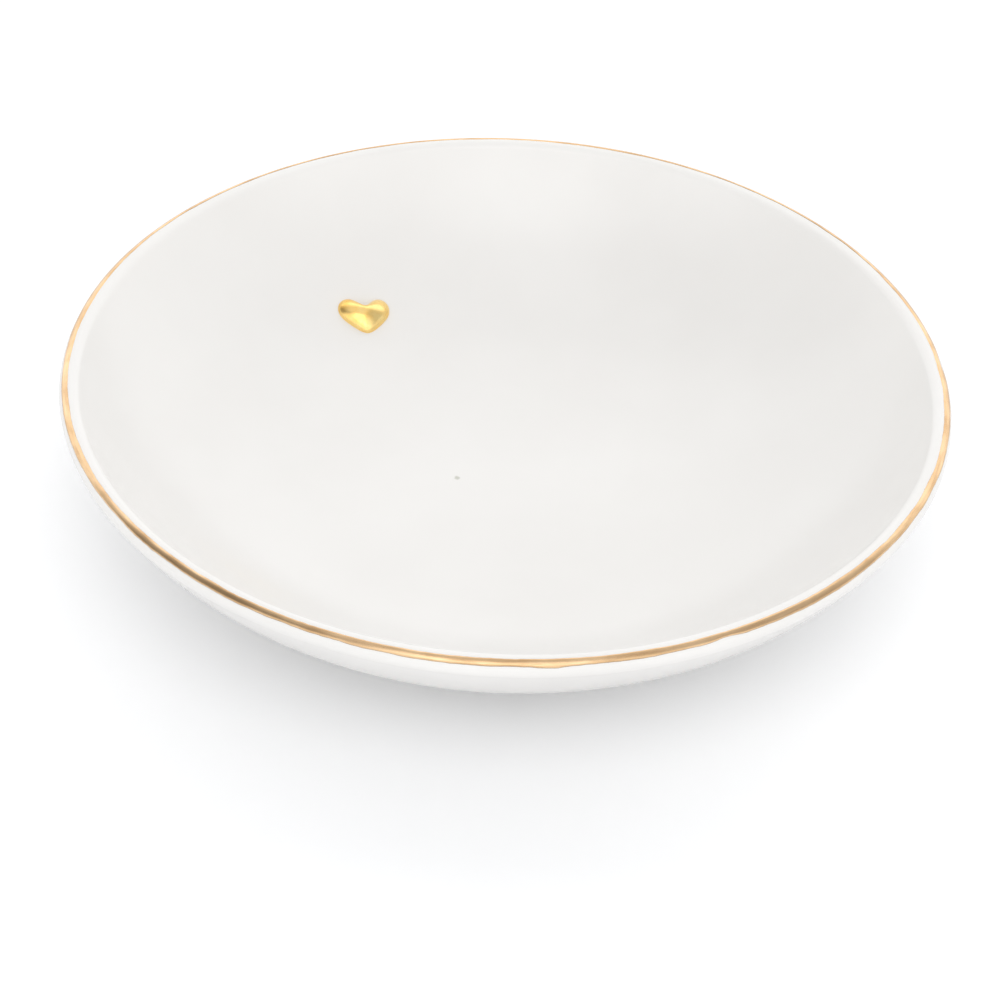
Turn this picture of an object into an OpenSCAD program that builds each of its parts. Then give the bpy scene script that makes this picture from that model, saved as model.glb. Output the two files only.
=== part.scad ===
// Ring dish: a small round porcelain bowl on a low foot ring, clear glazed, with a gold
// line on its lip and one raised gold heart on the inside of its wall.
// All sizes are millimetres. Z is up, the table is z = 0, and the bowl turns about Z.

/* [Bowl] */
// Diameter over the lip
dish_d = 100; // [85:1:130]
// Depth of the well, from the top of the lip to the floor
well_depth = 15.6; // [12:0.2:20]
// Thickness of the glazed wall, which the lip rounds over
wall_t = 2.5; // [2:0.1:3.5]
// Steepness of the wall where it reaches the lip, in degrees from level
lip_slope = 58; // [48:1:68]
// How much thicker the floor is than the wall
floor_extra = 0.5; // [0.2:0.1:1.5]

/* [Foot] */
// Diameter over the foot ring
foot_d = 50; // [40:1:60]
// Width of the foot ring
foot_w = 3; // [2.5:0.1:6]
// Depth of the recess inside the foot ring
recess_h = 1.4; // [1.3:0.1:2.5]
// Radius of the hollow where the wall runs into the foot ring
foot_fillet = 1; // [0.5:0.1:1.1]
// Radius of the corner between the recess and the foot ring
recess_fillet = 0.5; // [0.3:0.1:0.6]
// Radius of the foot ring's two bottom edges
foot_edge = 0.4; // [0.2:0.1:0.5]

/* [Glaze] */
// Thickness of the glaze
glaze_t = 0.25; // [0.15:0.05:0.3]
// Height above the table at which the glaze stops on the foot ring
glaze_stop = 0.5; // [0.4:0.05:0.6]

/* [Gold line] */
// Where the gold line starts on the lip, in degrees outwards from its top
line_from = 11; // [0:1:30]
// Where the gold line ends on the lip, in degrees outwards from its top
line_to = 65; // [45:1:80]
// Thickness of the gold on the lip
line_t = 0.1; // [0.05:0.05:0.3]

/* [Heart] */
// Width of the heart over its lobes
heart_w = 6; // [4:0.2:9]
// Length of the heart from its lobes to its tip
heart_l = 5.2; // [4:0.2:8]
// Rise of the heart above the glaze
heart_h = 1.3; // [0.6:0.1:2]
// Distance of the heart's middle from the outside of the lip, seen from above
heart_inset = 16.4; // [13:0.2:18]
// Bearing of the heart round the dish, in degrees from +X
heart_bearing = 121; // [0:1:359]
// Turn of the heart on the wall, 0 pointing its tip straight down the wall
heart_turn = 18; // [-180:1:180]
// Thickness of the gold on the heart
heart_gold_t = 0.1; // [0.05:0.05:0.3]

/* [Hidden] */
$fn = 180;
bisque = [0.94, 0.92, 0.89];
porcelain = [0.97, 0.96, 0.95];
gold = [0.85, 0.62, 0.3];

// Steps along each round stretch of the section
wall_steps = 24;
lip_steps = 6;
corner_steps = 6;

// Heights of the floor, of the wall's underside and of the lip
floor_z = recess_h + floor_extra + wall_t;
under_z = floor_z - wall_t;
dish_h = floor_z + well_depth;

// The wall is an arc about bowl_c, which runs from the edge of the flat floor to the lip
lip_r = wall_t / 2;
mid_r = well_depth / (1 - cos(lip_slope));
bowl_r = mid_r - lip_r;
lip_c = [dish_d / 2 - lip_r, dish_h - lip_r];
bowl_c = lip_c - mid_r * [sin(lip_slope), -cos(lip_slope)];

// The hollow above the foot ring touches the wall's underside at foot_angle from plumb
foot_r = foot_d / 2;
foot_in = foot_r - foot_w;
fillet_x = foot_r + foot_fillet;
fillet_reach = bowl_r + wall_t + foot_fillet;
foot_angle = asin(max(0, fillet_x - bowl_c[0]) / fillet_reach);
fillet_c = [fillet_x, bowl_c[1] - fillet_reach * cos(foot_angle)];

// An arc in the section without its first point, which the stretch before it ends on
function arc(c, r, from, to, steps) =
    [for (i = [1 : steps]) let (a = from + (to - from) * i / steps) c + r * [cos(a), sin(a)]];

function reversed(points) = [for (i = [len(points) - 1 : -1 : 0]) points[i]];

// The dish from its middle, up the wall, over the lip and down to the foot ring's side,
// at a depth below the glazed surface
function skin_line(depth) = concat(
    [[0, floor_z - depth], [bowl_c[0], floor_z - depth]],
    arc(bowl_c, bowl_r + depth, -90, lip_slope - 90, wall_steps),
    arc(lip_c, lip_r - depth, lip_slope + 90, 90 - line_from, lip_steps),
    arc(lip_c, lip_r - depth, 90 - line_from, 90 - line_to, lip_steps),
    arc(lip_c, lip_r - depth, 90 - line_to, lip_slope - 90, lip_steps),
    arc(bowl_c, bowl_r + wall_t - depth, lip_slope - 90, foot_angle - 90, wall_steps),
    fillet_x < bowl_c[0] ? [[fillet_x, under_z + depth]] : [],
    arc(fillet_c, foot_fillet + depth, foot_angle + 90, 180, corner_steps));

// The recess from the foot ring's inner side to its middle, at a depth below the glaze
function recess_line(depth) = concat(
    [[foot_in + depth, recess_h - recess_fillet]],
    arc([foot_in - recess_fillet, recess_h - recess_fillet], recess_fillet + depth,
        0, 90, corner_steps),
    [[0, recess_h + depth]]);

// The foot ring's bare bottom, between its two rounded edges
function foot_line() = let (outer = foot_r - glaze_t - foot_edge, inner = foot_in + glaze_t + foot_edge)
    concat(
        [[outer + foot_edge, foot_edge]],
        arc([outer, foot_edge], foot_edge, 0, -90, corner_steps),
        [[inner, 0]],
        arc([inner, foot_edge], foot_edge, -90, -180, corner_steps));

module turned(section) {
    rotate_extrude() polygon(section);
}

// The heart curve at angle a, one unit wide and one unit long
function heart_curve(a) =
    [16 * pow(sin(a), 3) / 32,
     (13 * cos(a) - 5 * cos(2 * a) - 2 * cos(3 * a) - cos(4 * a)) / 28.95];

// A place on the body's wall: across and up the heart from its middle, and proud of the body
heart_mid_r = dish_d / 2 - heart_inset;
heart_rise = asin((heart_mid_r - bowl_c[0]) / bowl_r);
function on_wall(across, up, proud) = let (
        along = across * cos(heart_turn) + up * sin(heart_turn),
        climb = up * cos(heart_turn) - across * sin(heart_turn),
        slope = heart_rise + climb / bowl_r * 180 / PI,
        bearing = heart_bearing - along / heart_mid_r * 180 / PI,
        reach = bowl_r + glaze_t - proud,
        r = bowl_c[0] + reach * sin(slope))
    [r * cos(bearing), r * sin(bearing), bowl_c[1] - reach * cos(slope)];

// One ring of the heart: its outline grown by the gold, drawn in by share, and proud
heart_points = 48;
dome_rings = 8;
function heart_ring(share, gold_t, proud) =
    [for (i = [0 : heart_points - 1]) let (p = heart_curve(360 * i / heart_points))
        on_wall(share * (heart_w + 2 * gold_t) * p[0], share * (heart_l + 2 * gold_t) * p[1], proud)];

// The rings of the heart's dome, from the glaze to the last ring below its crown
function dome(gold_t) =
    [for (k = [0 : dome_rings - 1]) let (a = 90 * k / dome_rings)
        heart_ring(cos(a), gold_t, glaze_t + (heart_h + gold_t) * sin(a))];

// A closed skin from a point, through rings of equal count that turn clockwise about the
// way they climb, to a last point
module ringed_solid(first, rings, last) {
    n = len(rings[0]);
    top = len(rings) * n + 1;
    function at(k, i) = 1 + k * n + i % n;
    polyhedron(
        points = concat([first], [for (ring = rings) each ring], [last]),
        faces = concat(
            [for (i = [0 : n - 1]) [0, at(0, i + 1), at(0, i)]],
            [for (k = [0 : len(rings) - 2], i = [0 : n - 1]) [at(k, i), at(k, i + 1), at(k + 1, i)]],
            [for (k = [0 : len(rings) - 2], i = [0 : n - 1])
                [at(k, i + 1), at(k + 1, i + 1), at(k + 1, i)]],
            [for (i = [0 : n - 1]) [top, at(len(rings) - 1, i), at(len(rings) - 1, i + 1)]]));
}

// The body: floor, wall, lip and foot ring in one casting, under the glaze
module dish_body() {
    color(bisque) turned(concat(skin_line(glaze_t), foot_line(), recess_line(glaze_t)));
}

// The clear glaze over the inside, the lip and the outside, with a gap for the heart
module glaze_coat() {
    edge = [[foot_r, glaze_stop + glaze_t], [foot_r - glaze_t, glaze_stop]];
    color(porcelain) difference() {
        turned(concat(skin_line(0), edge, reversed(skin_line(glaze_t))));
        ringed_solid(
            on_wall(0, 0, -glaze_t),
            [heart_ring(1, 0, -glaze_t), heart_ring(1, 0, 2 * glaze_t)],
            on_wall(0, 0, 2 * glaze_t));
    }
}

// The glaze in the recess inside the foot ring
module base_glaze() {
    edge = [[foot_in + glaze_t, glaze_stop], [foot_in, glaze_stop + glaze_t]];
    color(porcelain) turned(concat(edge, recess_line(0), reversed(recess_line(glaze_t))));
}

// The gold line on the top and outer side of the lip
module lip_gilding() {
    start = 90 - line_from;
    end = 90 - line_to;
    color(gold) turned(concat(
        [lip_c + lip_r * [cos(start), sin(start)]],
        arc(lip_c, lip_r, start, end, lip_steps),
        [lip_c + (lip_r + line_t) * [cos(end), sin(end)]],
        arc(lip_c, lip_r + line_t, end, start, lip_steps)));
}

// The raised heart, pressed on the body and standing through the glaze
module heart_sprig() {
    color(bisque) ringed_solid(
        on_wall(0, 0, 0),
        concat([heart_ring(0.5, 0, 0), heart_ring(1, 0, 0)], dome(0)),
        on_wall(0, 0, glaze_t + heart_h));
}

// The gold over the heart, down to the glaze
module heart_gilding() {
    color(gold) ringed_solid(
        on_wall(0, 0, glaze_t + heart_h),
        concat(reversed(dome(0)), dome(heart_gold_t)),
        on_wall(0, 0, glaze_t + heart_h + heart_gold_t));
}

dish_body();
glaze_coat();
base_glaze();
lip_gilding();
heart_sprig();
heart_gilding();
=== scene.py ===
# A porcelain ring dish, clear glazed, with a gold line on its lip and one raised gold heart on its wall.
import bpy
import bmesh
import math
from mathutils import Matrix, Vector


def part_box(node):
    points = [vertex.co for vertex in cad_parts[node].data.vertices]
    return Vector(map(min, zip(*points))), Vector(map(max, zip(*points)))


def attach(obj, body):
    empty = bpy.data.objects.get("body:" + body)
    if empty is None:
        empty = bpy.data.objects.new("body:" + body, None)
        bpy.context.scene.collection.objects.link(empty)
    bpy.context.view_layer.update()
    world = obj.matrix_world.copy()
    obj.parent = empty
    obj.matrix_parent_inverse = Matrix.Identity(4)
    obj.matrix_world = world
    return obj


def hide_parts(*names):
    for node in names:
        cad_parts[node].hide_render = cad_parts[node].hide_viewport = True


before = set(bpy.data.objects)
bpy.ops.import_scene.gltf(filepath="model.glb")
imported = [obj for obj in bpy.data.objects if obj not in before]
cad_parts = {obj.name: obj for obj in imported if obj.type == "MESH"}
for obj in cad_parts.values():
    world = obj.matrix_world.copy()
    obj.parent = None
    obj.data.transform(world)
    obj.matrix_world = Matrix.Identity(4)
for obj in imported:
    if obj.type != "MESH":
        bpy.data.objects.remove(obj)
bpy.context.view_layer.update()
scene = bpy.context.scene
mm = 0.001
turn = 2 * math.pi

# The bowl's section. Its radius and top and the recess's height come from the frame.
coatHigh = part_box("glaze_coat")[1]
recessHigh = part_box("base_glaze")[1]
bowl = {
    "outerRadius": coatHigh.x,
    "lipTop": coatHigh.z,
    "wallThickness": 2.5 * mm,
    "wellDepth": 15.6 * mm,
    "lipSlope": math.radians(58),
    "glaze": 0.25 * mm,
    "glazeStop": 0.5 * mm,     # bare height above the table
    "footRadius": 25 * mm,
    "footWidth": 3 * mm,
    "footFillet": 1 * mm,
    "footEdge": 0.4 * mm,
    "recessFillet": 0.5 * mm,
    "segments": 320,           # round the dish
    "lipWander": 0.2 * mm,     # how far the lip leaves a true circle
    "lipDip": 0.2 * mm,        # how far it leaves a true level
}
# How many steps the stretches of the section have. The curved ones are multiplied by a fineness.
sectionSteps = {"floor": 8, "inside": 8, "lip": 5, "outside": 6, "recess": 6}
fineness = {
    "glazeSkin": 9,
    "glazeBack": 3,
    "body": 4,
    "bodyFoot": 6,
    "bodyRecess": 5,
    "recessSkin": 6,
    "recessBack": 4,
    "bead": 5,
}
glazeThickness = bowl["glaze"]
recessHeight = recessHigh.z - glazeThickness
lipRadius = bowl["wallThickness"] / 2
midRadius = bowl["wellDepth"] / (1 - math.cos(bowl["lipSlope"]))
wallRadius = midRadius - lipRadius
lipCentre = Vector((bowl["outerRadius"] - lipRadius, bowl["lipTop"] - lipRadius))
bowlCentre = lipCentre - midRadius * Vector((math.sin(bowl["lipSlope"]), -math.cos(bowl["lipSlope"])))
floorHeight = bowlCentre.y - wallRadius
footInner = bowl["footRadius"] - bowl["footWidth"]
filletCentreX = bowl["footRadius"] + bowl["footFillet"]
filletReach = wallRadius + bowl["wallThickness"] + bowl["footFillet"]
footAngle = math.asin((filletCentreX - bowlCentre.x) / filletReach)
filletCentre = Vector((filletCentreX, bowlCentre.y - filletReach * math.cos(footAngle)))
slopeTurn = math.degrees(bowl["lipSlope"])
footTurn = math.degrees(footAngle)
rimReach = bowl["outerRadius"] - bowl["footRadius"]
print("stage: frame loaded, floor of the well at %.2f mm" % (floorHeight / mm))


# An arc in the section without its first point, from one angle to another in degrees.
def arcPoints(centre, radius, start, end, steps):
    angles = [math.radians(start + (end - start) * (i + 1) / steps) for i in range(steps)]
    return [centre + radius * Vector((math.cos(a), math.sin(a))) for a in angles]


# The section's skin at a depth under the glazed surface: floor, wall, lip, outside and foot fillet.
def skinLine(depth, fine):
    count = sectionSteps["floor"]
    floor = [Vector((bowlCentre.x * i / count, floorHeight - depth)) for i in range(count + 1)]
    return (
        floor
        + arcPoints(bowlCentre, wallRadius + depth, -90, slopeTurn - 90, sectionSteps["inside"] * fine)
        + arcPoints(lipCentre, lipRadius - depth,
                    slopeTurn + 90, slopeTurn - 90, sectionSteps["lip"] * fine)
        + arcPoints(bowlCentre, wallRadius + bowl["wallThickness"] - depth,
                    slopeTurn - 90, footTurn - 90, sectionSteps["outside"] * fine)
        + arcPoints(filletCentre, bowl["footFillet"] + depth, footTurn + 90, 180, fine)
    )


# The recess inside the foot ring, from its side to the middle, at a depth above its glazed surface.
def recessLine(depth, fine):
    count = sectionSteps["recess"]
    corner = Vector((footInner - bowl["recessFillet"], recessHeight - bowl["recessFillet"]))
    ceiling = [Vector((corner.x * (1 - i / count), recessHeight + depth)) for i in range(1, count + 1)]
    return (
        [Vector((footInner + depth, corner.y))]
        + arcPoints(corner, bowl["recessFillet"] + depth, 0, 90, fine)
        + ceiling
    )


# The foot ring's bare bottom between its rounded edges.
def footLine(fine):
    edge = bowl["footEdge"]
    outer = bowl["footRadius"] - glazeThickness - edge
    inner = footInner + glazeThickness + edge
    return (
        [Vector((outer + edge, edge))]
        + arcPoints(Vector((outer, edge)), edge, 0, -90, fine)
        + [Vector((inner, 0))]
        + arcPoints(Vector((inner, edge)), edge, -90, -180, fine)
    )


# The lip's gold line as painted, with its angles in degrees above level about the lip's centre.
goldLine = {
    "from": 77.0,              # at the top of the lip
    "to": 38.0,                # at its outer side
    "thickness": 0.1 * mm,
    "shoulder": 6,             # a greater power gives a flatter line with steeper edges
    "bedded": 0.03 * mm,       # how far its underside sinks in the glaze
    "acrossSteps": 18,
    "underSteps": 5,
    "segments": 900,
    "edgeWander": 0.22,        # in radians about the lip's centre
    "seed": 4.0,
    "edgeSeeds": (3.0, 7.0),   # of the upper and the lower edge
    "waves": ((2.2, 0.55), (14.0, 0.3), (60.0, 0.15)),    # each a rate round the rim and a share
    # A mark is where a stroke starts or lifts, in degrees, and how far it moves the lower edge, in radians.
    "marks": ((8.0, 0.24), (277.0, -0.12), (299.0, 0.14), (226.0, 0.08)),
    "markWidth": 0.035,        # in radians round the dish
}


# A math node whose inputs are sockets or plain numbers.
def calc(tree, operation, *values):
    step = tree.nodes.new("ShaderNodeMath")
    step.operation = operation
    for place, value in enumerate(values):
        if isinstance(value, (int, float)):
            step.inputs[place].default_value = value
        else:
            tree.links.new(value, step.inputs[place])
    return step.outputs[0]


# A vector math node whose inputs are sockets or plain tuples.
def vectorNode(tree, operation, *values):
    step = tree.nodes.new("ShaderNodeVectorMath")
    step.operation = operation
    for place, value in enumerate(values):
        if isinstance(value, tuple):
            step.inputs[place].default_value = value
        else:
            tree.links.new(value, step.inputs[place])
    return step


# Noise at a place: output 0 is its level and output 1 its colour.
def noiseNode(tree, vector, scale, detail, output=0):
    noise = tree.nodes.new("ShaderNodeTexNoise")
    noise.inputs["Scale"].default_value = scale
    noise.inputs["Detail"].default_value = detail
    tree.links.new(vector, noise.inputs["Vector"])
    return noise.outputs[output]


# The point at a bearing, a reach from the middle and a height.
def aroundNodes(tree, bearing, reach, height):
    place = tree.nodes.new("ShaderNodeCombineXYZ")
    for socket, wave in enumerate(("COSINE", "SINE")):
        tree.links.new(calc(tree, "MULTIPLY", calc(tree, wave, bearing), reach), place.inputs[socket])
    tree.links.new(height, place.inputs[2])
    return place.outputs[0]


# The slow sway of a hand-turned lip, between 0 and 1: each wave has a count round the dish, a phase and a
# share. The nodes and the heart's own points use the same waves, so the pieces stay in touch.
swayMiddle = 0.5
swayWaves = {"out": ((2, 0.7, 0.3), (3, 2.1, 0.2)), "down": ((2, 2.9, 0.3), (3, 0.4, 0.2))}


def swayNodes(tree, bearing, kind):
    total = swayMiddle
    for count, phase, share in swayWaves[kind]:
        wave = calc(tree, "SINE", calc(tree, "MULTIPLY_ADD", bearing, count, phase))
        total = calc(tree, "MULTIPLY_ADD", wave, share, total)
    return total


def swayed(radius, bearing, height):
    weight = max(0.0, min(1.0, (radius - bowl["footRadius"]) / rimReach)) ** 2
    out, down = [swayMiddle + sum(share * math.sin(count * bearing + phase)
                                  for count, phase, share in swayWaves[kind]) for kind in ("out", "down")]
    radius -= bowl["lipWander"] * weight * out
    return Vector((radius * math.cos(bearing), radius * math.sin(bearing),
                   height - bowl["lipDip"] * weight * down))


# The painted line's edges: each point turns about the lip's centre by slow noise and by the brush marks.
def strokeNodes(tree, radius, height, bearing, wander, seed):
    acrossX = calc(tree, "SUBTRACT", radius, lipCentre.x)
    acrossZ = calc(tree, "SUBTRACT", height, lipCentre.y)
    angle = calc(tree, "ARCTAN2", acrossZ, acrossX)
    squares = [calc(tree, "MULTIPLY", side, side) for side in (acrossX, acrossZ)]
    reach = calc(tree, "SQRT", calc(tree, "ADD", *squares))
    low, high = math.radians(goldLine["to"]), math.radians(goldLine["from"])
    upper = calc(tree, "MULTIPLY", calc(tree, "SUBTRACT", angle, low), 1 / (high - low))
    lower = calc(tree, "SUBTRACT", 1.0, upper)
    shift = 0.0
    for edgeSeed, weight in zip(goldLine["edgeSeeds"], (upper, lower)):
        for rate, amount in goldLine["waves"]:
            place = aroundNodes(tree, bearing, rate, calc(tree, "ADD", seed, edgeSeed + rate))
            level = calc(tree, "MULTIPLY_ADD", noiseNode(tree, place, 1.0, 0.0), 2 * amount, -amount)
            shift = calc(tree, "MULTIPLY_ADD", calc(tree, "MULTIPLY", level, wander), weight, shift)
    for markBearing, amount in goldLine["marks"]:
        away = calc(tree, "MULTIPLY_ADD", bearing, 1 / goldLine["markWidth"],
                    -math.radians(markBearing) / goldLine["markWidth"])
        hump = calc(tree, "EXPONENT", calc(tree, "MULTIPLY", calc(tree, "MULTIPLY", away, away), -1.0))
        shift = calc(tree, "MULTIPLY_ADD", calc(tree, "MULTIPLY", hump, amount), lower, shift)
    turned = calc(tree, "ADD", angle, shift)
    return (calc(tree, "MULTIPLY_ADD", reach, calc(tree, "COSINE", turned), lipCentre.x),
            calc(tree, "MULTIPLY_ADD", reach, calc(tree, "SINE", turned), lipCentre.y))


# How close points must lie to become one, and the longest edge of a sliver that goes.
welds = {"seam": 0.002 * mm, "doubles": 0.001 * mm, "slivers": 0.0005 * mm}


# The node tree that turns a profile round the dish's middle: a grid with a row for each of the profile's
# points and a column for each bearing, moved to its place with the lip's sway, and merged at its seam.
def turnedTree(label, painted):
    tree = bpy.data.node_groups.new(label, "GeometryNodeTree")
    link = tree.links.new
    sockets = [("Profile", "Geometry"), ("Segments", "Int"), ("Wander", "Float"), ("Dip", "Float"),
               ("Edge Wander", "Float"), ("Seed", "Float"), ("Finish", "Material")]
    for name, kind in sockets:
        tree.interface.new_socket(name, in_out="INPUT", socket_type="NodeSocket" + kind)
    tree.interface.new_socket("Piece", in_out="OUTPUT", socket_type="NodeSocketGeometry")
    given = tree.nodes.new("NodeGroupInput").outputs

    rows = tree.nodes.new("GeometryNodeAttributeDomainSize")
    rows.component = "MESH"
    link(given["Profile"], rows.inputs["Geometry"])
    columns = calc(tree, "ADD", given["Segments"], 1)
    grid = tree.nodes.new("GeometryNodeMeshGrid")
    link(rows.outputs["Point Count"], grid.inputs["Vertices X"])
    link(columns, grid.inputs["Vertices Y"])

    index = tree.nodes.new("GeometryNodeInputIndex").outputs[0]
    row = calc(tree, "FLOOR", calc(tree, "DIVIDE", index, columns))
    column = calc(tree, "SUBTRACT", index, calc(tree, "MULTIPLY", row, columns))
    bearing = calc(tree, "MULTIPLY", calc(tree, "DIVIDE", column, given["Segments"]), turn)
    sample = tree.nodes.new("GeometryNodeSampleIndex")
    sample.data_type = "FLOAT_VECTOR"
    sample.domain = "POINT"
    link(given["Profile"], sample.inputs["Geometry"])
    link(tree.nodes.new("GeometryNodeInputPosition").outputs[0], sample.inputs["Value"])
    link(row, sample.inputs["Index"])
    parts = tree.nodes.new("ShaderNodeSeparateXYZ")
    link(sample.outputs["Value"], parts.inputs[0])
    radius, height = parts.outputs[0], parts.outputs[2]
    if painted:
        radius, height = strokeNodes(tree, radius, height, bearing, given["Edge Wander"], given["Seed"])

    reach = calc(tree, "MULTIPLY_ADD", radius, 1 / rimReach, -bowl["footRadius"] / rimReach)
    level = calc(tree, "MINIMUM", calc(tree, "MAXIMUM", reach, 0.0), 1.0)
    weight = calc(tree, "MULTIPLY", level, level)
    inward = calc(tree, "MULTIPLY", swayNodes(tree, bearing, "out"), given["Wander"])
    sunk = calc(tree, "MULTIPLY", swayNodes(tree, bearing, "down"), given["Dip"])
    radius = calc(tree, "SUBTRACT", radius, calc(tree, "MULTIPLY", inward, weight))
    height = calc(tree, "SUBTRACT", height, calc(tree, "MULTIPLY", sunk, weight))

    moved = tree.nodes.new("GeometryNodeSetPosition")
    merged = tree.nodes.new("GeometryNodeMergeByDistance")
    realized = tree.nodes.new("GeometryNodeRealizeInstances")
    finished = tree.nodes.new("GeometryNodeSetMaterial")
    result = tree.nodes.new("NodeGroupOutput")
    link(grid.outputs["Mesh"], moved.inputs["Geometry"])
    link(aroundNodes(tree, bearing, radius, height), moved.inputs["Position"])
    merged.inputs["Distance"].default_value = welds["seam"]
    link(moved.outputs[0], merged.inputs["Geometry"])
    link(merged.outputs[0], realized.inputs[0])
    link(realized.outputs[0], finished.inputs["Geometry"])
    link(given["Finish"], finished.inputs["Material"])
    link(finished.outputs[0], result.inputs[0])
    return tree


# Welds a mesh, turns its faces outward and counts the edges that don't have two faces.
def cleaned(mesh):
    work = bmesh.new()
    work.from_mesh(mesh)
    bmesh.ops.remove_doubles(work, verts=work.verts, dist=welds["doubles"])
    bmesh.ops.dissolve_degenerate(work, edges=work.edges, dist=welds["slivers"])
    bmesh.ops.recalc_face_normals(work, faces=work.faces)
    openEdges = sum(1 for edge in work.edges if len(edge.link_faces) != 2)
    work.to_mesh(mesh)
    work.free()
    for face in mesh.polygons:
        face.use_smooth = True
    return openEdges


def addPiece(name, mesh, nodes):
    piece = bpy.data.objects.new(name, mesh)
    scene.collection.objects.link(piece)
    openEdges = cleaned(mesh)
    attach(piece, "root")
    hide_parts(*nodes)
    print("stage: %s, %d faces, %d open edges" % (name, len(mesh.polygons), openEdges))


# A piece turned from a list of profile points, as a plain mesh.
def turnedMesh(name, profile, tree, finish, values):
    line = bpy.data.meshes.new(name + "Profile")
    line.from_pydata([(p.x, 0, p.y) for p in profile], [], [])
    holder = bpy.data.objects.new(name + "Holder", line)
    scene.collection.objects.link(holder)
    modifier = holder.modifiers.new("turned", "NODES")
    modifier.node_group = tree
    named = {item.name: item.identifier for item in tree.interface.items_tree if item.in_out == "INPUT"}
    for key, value in values.items():
        modifier[named[key]] = value
    modifier[named["Finish"]] = finish
    bpy.context.view_layer.update()
    ready = holder.evaluated_get(bpy.context.evaluated_depsgraph_get())
    mesh = bpy.data.meshes.new_from_object(ready)
    mesh.name = name
    bpy.data.objects.remove(holder)
    return mesh


# A material, its tree, its shader and the piece's own coordinates.
def newFinish(name, roughness, metallic=0.0):
    finish = bpy.data.materials.new(name)
    finish.use_nodes = True
    tree = finish.node_tree
    shader = tree.nodes["Principled BSDF"]
    shader.inputs["Roughness"].default_value = roughness
    shader.inputs["Metallic"].default_value = metallic
    return finish, tree, shader, tree.nodes.new("ShaderNodeTexCoord").outputs["Object"]


# A value taken from one span to another, and held at its ends.
def rangeNode(tree, value, given, wanted=(0.0, 1.0), smooth=False):
    span = tree.nodes.new("ShaderNodeMapRange")
    span.interpolation_type = "SMOOTHSTEP" if smooth else "LINEAR"
    for place, number in enumerate((*given, *wanted)):
        span.inputs[place + 1].default_value = number
    tree.links.new(value, span.inputs[0])
    return span.outputs[0]


def mixNode(tree, factor, first, second):
    mix = tree.nodes.new("ShaderNodeMix")
    mix.data_type = "RGBA"
    tree.links.new(factor, mix.inputs["Factor"])
    for socket, colour in ((mix.inputs[6], first), (mix.inputs[7], second)):
        if isinstance(colour, tuple):
            socket.default_value = (*colour, 1.0)
        else:
            tree.links.new(colour, socket)
    return mix.outputs[2]


def stretched(tree, vector, scale):
    mapping = tree.nodes.new("ShaderNodeMapping")
    mapping.inputs["Scale"].default_value = scale
    tree.links.new(vector, mapping.inputs["Vector"])
    return mapping.outputs[0]


def addBump(tree, shader, height, distance):
    bump = tree.nodes.new("ShaderNodeBump")
    bump.inputs["Strength"].default_value = 1.0
    bump.inputs["Distance"].default_value = distance
    tree.links.new(height, bump.inputs["Height"])
    tree.links.new(bump.outputs[0], shader.inputs["Normal"])


# The finishes. Each noise has a scale, in waves a metre, and a detail.
glazeLook = {
    "pale": (0.820, 0.808, 0.790),
    "deep": (0.800, 0.787, 0.768),
    "ior": 1.5,
    "mottle": (55, 3),
    "mottleSpan": (0.35, 0.65),
    "roughness": 0.22,
    "roughGain": 0.05,
    "rough": (160, 3),
    "roughSpan": (0.3, 0.7),
    "swell": (110, 0),
    "swellHeight": 0.02 * mm,
    "speck": (-5.19 * mm, 1.40 * mm, floorHeight),
    "speckRadius": 0.34 * mm,
    "speckEdge": (0.5, 1.3),       # shares of the radius where it starts and ends to fade
    "speckStrength": 0.8,
    "speckColour": (0.50, 0.50, 0.43),
    "speckBlur": (2500, 2),
    "speckBlurWidth": 0.3 * mm,
}


# The grey speck's share at each place: a spot with a blurred edge on the floor of the well.
def speckNodes(tree, at):
    width = glazeLook["speckBlurWidth"]
    blur = noiseNode(tree, at, *glazeLook["speckBlur"], 1)
    wobbled = vectorNode(tree, "MULTIPLY_ADD", blur, (width, width, width), at)
    middle = tuple(c + width / 2 for c in glazeLook["speck"])
    away = vectorNode(tree, "DISTANCE", wobbled.outputs[0], middle)
    edge = [share * glazeLook["speckRadius"] for share in glazeLook["speckEdge"]]
    return rangeNode(tree, away.outputs["Value"], edge, (glazeLook["speckStrength"], 0.0), True)


def makeGlaze():
    finish, tree, shader, at = newFinish("clearGlaze", glazeLook["roughness"])
    shader.inputs["IOR"].default_value = glazeLook["ior"]
    mottle = rangeNode(tree, noiseNode(tree, at, *glazeLook["mottle"]), glazeLook["mottleSpan"])
    colour = mixNode(tree, mottle, glazeLook["pale"], glazeLook["deep"])
    colour = mixNode(tree, speckNodes(tree, at), colour, glazeLook["speckColour"])
    tree.links.new(colour, shader.inputs["Base Color"])
    base = glazeLook["roughness"]
    rough = rangeNode(tree, noiseNode(tree, at, *glazeLook["rough"]), glazeLook["roughSpan"],
                      (base, base + glazeLook["roughGain"]))
    tree.links.new(rough, shader.inputs["Roughness"])
    addBump(tree, shader, noiseNode(tree, at, *glazeLook["swell"]), glazeLook["swellHeight"])
    return finish


bisqueLook = {
    "clay": (0.80, 0.77, 0.72),
    "grainColour": (0.72, 0.69, 0.63),
    "wornColour": (0.60, 0.57, 0.52),
    "grain": (1800, 4),
    "grainSpan": (0.35, 0.65),
    "grainHeight": 0.02 * mm,
    "worn": (210, 3),
    "wornSpan": (0.5, 0.72),
    "wornShare": (0.0, 0.6),
    "roughness": 0.75,
    "roughSpan": (0.68, 0.88),
}


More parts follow.
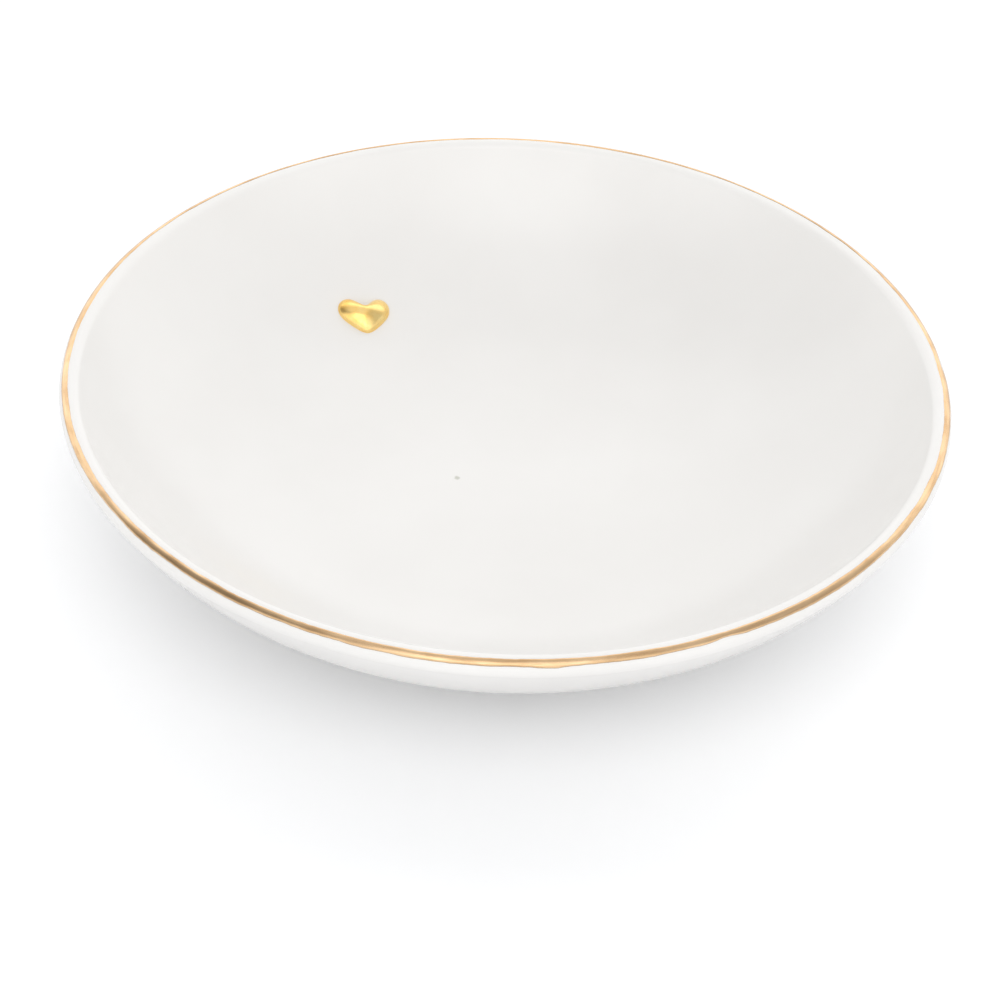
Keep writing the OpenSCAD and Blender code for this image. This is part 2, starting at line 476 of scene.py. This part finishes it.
def makeBisque():
    finish, tree, shader, at = newFinish("bisque", bisqueLook["roughness"])
    grain = rangeNode(tree, noiseNode(tree, at, *bisqueLook["grain"]), bisqueLook["grainSpan"])
    worn = rangeNode(tree, noiseNode(tree, at, *bisqueLook["worn"]), bisqueLook["wornSpan"],
                     bisqueLook["wornShare"])
    colour = mixNode(tree, grain, bisqueLook["clay"], bisqueLook["grainColour"])
    tree.links.new(mixNode(tree, worn, colour, bisqueLook["wornColour"]), shader.inputs["Base Color"])
    tree.links.new(rangeNode(tree, grain, (0.0, 1.0), bisqueLook["roughSpan"]), shader.inputs["Roughness"])
    addBump(tree, shader, grain, bisqueLook["grainHeight"])
    return finish


# Both golds mix a streak that follows the brush with a cloud.
goldLook = {
    "flowDetail": 3,
    "cloud": (240, 2),
    "cloudShare": 0.5,
    "mixSpan": (0.36, 0.64),
    "roughFrom": (0.3, 0.7),
    "roughShares": (0.75, 1.3),
    "bump": 0.025 * mm,
}
lineGold = {
    "bright": (0.78, 0.55, 0.33),
    "deep": (0.56, 0.36, 0.19),
    "roughness": 0.22,
    "streak": (260, 260, 5200),
}
heartGold = {
    "bright": (1.0, 0.76, 0.32),
    "deep": (0.97, 0.60, 0.17),
    "roughness": 0.2,
    "streak": (900, 900, 900),
}


def makeGold(name, look):
    finish, tree, shader, at = newFinish(name, look["roughness"], 1.0)
    flow = noiseNode(tree, stretched(tree, at, look["streak"]), 1.0, goldLook["flowDetail"])
    cloud = noiseNode(tree, at, *goldLook["cloud"])
    share = goldLook["cloudShare"]
    both = calc(tree, "MULTIPLY_ADD", cloud, share, calc(tree, "MULTIPLY", flow, 1 - share))
    mixed = rangeNode(tree, both, goldLook["mixSpan"])
    tree.links.new(mixNode(tree, mixed, look["bright"], look["deep"]), shader.inputs["Base Color"])
    spread = [look["roughness"] * part for part in goldLook["roughShares"]]
    tree.links.new(rangeNode(tree, flow, goldLook["roughFrom"], spread), shader.inputs["Roughness"])
    addBump(tree, shader, both, goldLook["bump"])
    return finish


glazeFinish = makeGlaze()
bisqueFinish = makeBisque()
lineFinish = makeGold("lipGold", lineGold)
heartFinish = makeGold("heartGold", heartGold)
print("stage: four finishes ready")

# The pieces turned on the wheel. The glaze ends in a bead on each side of the foot ring.
plainTree = turnedTree("turnedPiece", False)
paintedTree = turnedTree("paintedLine", True)
lipValues = {"Segments": bowl["segments"], "Wander": bowl["lipWander"], "Dip": bowl["lipDip"]}
beadHeight = bowl["glazeStop"] + glazeThickness
outerBead = Vector((bowl["footRadius"] - glazeThickness, beadHeight))
innerBead = Vector((footInner + glazeThickness, beadHeight))


def coatProfile():
    return (
        skinLine(0, fineness["glazeSkin"])
        + [Vector((bowl["footRadius"], beadHeight))]
        + arcPoints(outerBead, glazeThickness, 0, -90, fineness["bead"])
        + list(reversed(skinLine(glazeThickness, fineness["glazeBack"])))
    )


def bodyProfile():
    return (
        skinLine(glazeThickness, fineness["body"])
        + footLine(fineness["bodyFoot"])
        + recessLine(glazeThickness, fineness["bodyRecess"])
    )


def recessProfile():
    return (
        list(reversed(recessLine(0, fineness["recessSkin"])))
        + [Vector((footInner, beadHeight))]
        + arcPoints(innerBead, glazeThickness, 180, 270, fineness["bead"])
        + recessLine(glazeThickness, fineness["recessBack"])
    )


def lineProfile():
    steps = goldLine["acrossSteps"]
    top = []
    for i in range(steps + 1):
        share = i / steps
        angle = math.radians(goldLine["from"] + (goldLine["to"] - goldLine["from"]) * share)
        proud = goldLine["thickness"] * (1 - abs(2 * share - 1) ** goldLine["shoulder"])
        top.append(lipCentre + (lipRadius + proud) * Vector((math.cos(angle), math.sin(angle))))
    under = arcPoints(lipCentre, lipRadius - goldLine["bedded"], goldLine["to"], goldLine["from"],
                      goldLine["underSteps"])
    return top + under + [top[0].copy()]


for name, profile, finish, node, slotName in (
    ("glazedBowl", coatProfile(), glazeFinish, "glaze_coat", "clear_glaze"),
    ("bisqueBody", bodyProfile(), bisqueFinish, "dish_body", "bisque"),
    ("recessGlaze", recessProfile(), glazeFinish, "base_glaze", "clear_glaze"),
):
    addPiece(name, turnedMesh(name, profile, plainTree, finish, lipValues), [node])

lineValues = dict(lipValues)
lineValues.update({"Segments": goldLine["segments"], "Edge Wander": goldLine["edgeWander"],
                   "Seed": goldLine["seed"]})
addPiece("goldLine", turnedMesh("goldLine", lineProfile(), paintedTree, lineFinish, lineValues),
         ["lip_gilding"])

# The heart stands on the wall: its outline is a heart curve with a rounded tip, and its rings climb a dome.
heart = {
    "width": 6.0 * mm,
    "length": 5.2 * mm,
    "height": 1.3 * mm,
    "gold": 0.1 * mm,
    "bedded": 0.6,             # how high its lowest ring lies, as a share of the glaze
    "inset": 16.4 * mm,        # from the rim to its middle
    "bearing": math.radians(121),
    "lean": math.radians(18),
    "points": 160,
    "rings": 40,
    "acrossWeight": 16,        # of the curve's cubed sine
    "upWeights": (13, -5, -2, -1),    # of the cosines of the angle, twice, three and four times the angle
    "acrossSpan": 32,
    "upSpan": 28.95,
    "roundness": 5.5,          # how much of the curve's width follows a plain sine
    "tipFrom": 0.30,           # where the tip starts to draw in, as a share of the length
    "tipDrawn": 1.32,          # how strongly it draws in
    "crown": (0.36, 0.28),     # half width and half length of the oval that the rings turn into
    "crownShare": 0.8,
    "crownBend": 1.5,          # a greater power keeps the heart's outline higher up
}
heartRadius = bowl["outerRadius"] - heart["inset"]
heartRise = math.asin((heartRadius - bowlCentre.x) / wallRadius)


# A place on the wall: across and up the heart from its middle, and proud of the body.
def onWall(across, up, proud):
    along = across * math.cos(heart["lean"]) + up * math.sin(heart["lean"])
    climb = up * math.cos(heart["lean"]) - across * math.sin(heart["lean"])
    slope = heartRise + climb / wallRadius
    bearing = heart["bearing"] - along / heartRadius
    reach = wallRadius + glazeThickness - proud
    return swayed(bowlCentre.x + reach * math.sin(slope), bearing, bowlCentre.y - reach * math.cos(slope))


def heartCurve(angle):
    rounded = heart["roundness"]
    cubed = (heart["acrossWeight"] - rounded) * math.sin(angle) ** 3
    across = (cubed + rounded * math.sin(angle)) / heart["acrossSpan"]
    waves = [weight * math.cos((k + 1) * angle) for k, weight in enumerate(heart["upWeights"])]
    up = sum(waves) / heart["upSpan"]
    up += heart["tipDrawn"] * max(0.0, -up - heart["tipFrom"]) ** 2
    return across, up


# The heart's rings turn into an oval as they climb, so that its crown is smooth.
def ringPoint(angle, climbed):
    across, up = heartCurve(angle)
    share = heart["crownShare"] * climbed ** heart["crownBend"]
    wide, long = heart["crown"]
    return (across + (wide * math.sin(angle) - across) * share,
            up + (long * math.cos(angle) - up) * share)


# The heart as a closed dome, grown by a thickness of gold.
def heartMesh(name, gold, finish):
    count, rings = heart["points"], heart["rings"]
    width, length = heart["width"] + 2 * gold, heart["length"] + 2 * gold
    height = heart["height"] + gold
    base = heart["bedded"] * glazeThickness
    levels = [(1.0, 0.0, base)]
    for k in range(rings):
        rise = math.pi / 2 * k / rings
        levels.append((math.cos(rise), math.sin(rise), glazeThickness + height * math.sin(rise)))
    points = [onWall(0, 0, base)]
    for share, climbed, proud in levels:
        for i in range(count):
            across, up = ringPoint(turn * i / count, climbed)
            points.append(onWall(share * width * across, share * length * up, proud))
    points.append(onWall(0, 0, glazeThickness + height))
    faces = [(0, 1 + i, 1 + (i + 1) % count) for i in range(count)]
    for k in range(len(levels) - 1):
        low, high = 1 + k * count, 1 + (k + 1) * count
        for i in range(count):
            faces.append((low + i, high + i, high + (i + 1) % count, low + (i + 1) % count))
    last = 1 + (len(levels) - 1) * count
    faces += [(last + (i + 1) % count, last + i, len(points) - 1) for i in range(count)]
    mesh = bpy.data.meshes.new(name)
    mesh.from_pydata([tuple(p) for p in points], [], faces)
    mesh.materials.append(finish)
    return mesh


addPiece("heartPad", heartMesh("heartPad", 0.0, bisqueFinish), ["heart_sprig"])
addPiece("heartSkin", heartMesh("heartSkin", heart["gold"], heartFinish), ["heart_gilding"])

# The table
tableLook = {
    "halfWidth": 3.0,
    "colour": (0.93, 0.935, 0.945),
    "roughness": 0.95,
    "glow": 0.08,              # what the table adds to its own shade, so that the shadow stays pale
    "glowColour": (0.98, 0.99, 1.0),
}


def makeTable():
    half = tableLook["halfWidth"]
    mesh = bpy.data.meshes.new("table")
    corners = [(-half, -half, 0), (half, -half, 0), (half, half, 0), (-half, half, 0)]
    mesh.from_pydata(corners, [], [(0, 1, 2, 3)])
    finish = bpy.data.materials.new("table")
    finish.use_nodes = True
    tree = finish.node_tree
    shader = tree.nodes["Principled BSDF"]
    shader.inputs["Base Color"].default_value = (*tableLook["colour"], 1.0)
    shader.inputs["Roughness"].default_value = tableLook["roughness"]
    shader.inputs["Specular IOR Level"].default_value = 0.0
    seen = tree.nodes.new("ShaderNodeLightPath").outputs["Is Camera Ray"]
    shader.inputs["Emission Color"].default_value = (*tableLook["glowColour"], 1.0)
    tree.links.new(calc(tree, "MULTIPLY", seen, tableLook["glow"]), shader.inputs["Emission Strength"])
    mesh.materials.append(finish)
    table = bpy.data.objects.new("table", mesh)
    scene.collection.objects.link(table)


# The sky is a plain level, with what each region adds or takes. A span says where along an axis of the
# direction a region fades: the top and the low part by height, the rear and the sides by depth.
sky = {
    "plain": 1.43,
    "sides": -0.13,
    "top": -0.50,
    "behind": 0.09,
    "leftShade": 0.95,
    "rightShade": 0.66,
    "lowSpan": (0.10, 0.30),
    "topSpan": (0.82, 0.97),
    "behindSpan": (0.05, 0.5),
    "besideSpan": (0.2, 0.6),
    "acrossSpan": (-0.4, 0.4),
}


def makeSky():
    world = scene.world or bpy.data.worlds.new("studio")
    scene.world = world
    world.use_nodes = True
    tree = world.node_tree
    parts = tree.nodes.new("ShaderNodeSeparateXYZ")
    tree.links.new(tree.nodes.new("ShaderNodeTexCoord").outputs["Generated"], parts.inputs[0])
    across, depth, height = parts.outputs
    behind = rangeNode(tree, depth, sky["behindSpan"], smooth=True)
    low = rangeNode(tree, height, sky["lowSpan"], smooth=True)
    top = rangeNode(tree, height, sky["topSpan"], smooth=True)
    middle = calc(tree, "MULTIPLY", low, calc(tree, "SUBTRACT", 1.0, top))
    rear = calc(tree, "MULTIPLY", middle, behind)
    sides = calc(tree, "SUBTRACT", middle, rear)
    level = calc(tree, "MULTIPLY_ADD", sides, sky["sides"], sky["plain"])
    level = calc(tree, "MULTIPLY_ADD", top, sky["top"], level)
    level = calc(tree, "MULTIPLY_ADD", rear, sky["behind"], level)
    beside = rangeNode(tree, calc(tree, "ABSOLUTE", depth), sky["besideSpan"], (1.0, 0.0), True)
    shade = rangeNode(tree, across, sky["acrossSpan"], (sky["leftShade"], sky["rightShade"]), True)
    shaded = calc(tree, "MULTIPLY", calc(tree, "MULTIPLY", beside, middle), shade)
    background = tree.nodes["Background"]
    background.inputs["Color"].default_value = (1.0, 1.0, 1.0, 1.0)
    tree.links.new(calc(tree, "SUBTRACT", level, shaded), background.inputs["Strength"])


# The soft box over the camera. Azimuth 0 is the camera's side.
frontBox = {"azimuth": 0, "elevation": 54, "distance": 1.0, "size": 0.6, "power": 0.91}


def addLamp(name, facts):
    light = bpy.data.lights.new(name, "AREA")
    light.shape = "SQUARE"
    light.size = facts["size"]
    light.energy = facts["power"]
    lamp = bpy.data.objects.new(name, light)
    azimuth, elevation = math.radians(facts["azimuth"]), math.radians(facts["elevation"])
    away = Vector((math.sin(azimuth) * math.cos(elevation), -math.cos(azimuth) * math.cos(elevation),
                   math.sin(elevation)))
    lamp.location = facts["distance"] * away
    lamp.rotation_euler = away.to_track_quat("Z", "Y").to_euler()
    scene.collection.objects.link(lamp)


# The photograph's camera, which leans a little to one side.
shot = {
    "elevation": math.radians(37.67),
    "roll": math.radians(2.67),
    "distance": 450 * mm,
    "lookAt": Vector((-0.16, -22.58, 20.0)) * mm,
    "lens": 150.64,
    "sensor": 36,
    "nearest": 0.01,
}


def makeCamera():
    lift = shot["elevation"]
    forward = Vector((0, math.cos(lift), -math.sin(lift)))
    up = Vector((0, math.sin(lift), math.cos(lift)))
    right = Vector((1, 0, 0))
    cosine, sine = math.cos(shot["roll"]), math.sin(shot["roll"])
    across = cosine * right + sine * up
    above = cosine * up - sine * right
    data = bpy.data.cameras.new("photoView")
    data.sensor_width = shot["sensor"]
    data.lens = shot["lens"]
    data.clip_start = shot["nearest"]
    camera = bpy.data.objects.new("photoView", data)
    matrix = Matrix((across, above, -forward)).transposed().to_4x4()
    matrix.translation = shot["lookAt"] - shot["distance"] * forward
    camera.matrix_world = matrix
    scene.collection.objects.link(camera)
    scene.camera = camera


makeTable()
makeSky()
addLamp("frontBox", frontBox)
makeCamera()
scene.view_settings.view_transform = "Standard"
print("stage: table, sky, lamps and camera ready")
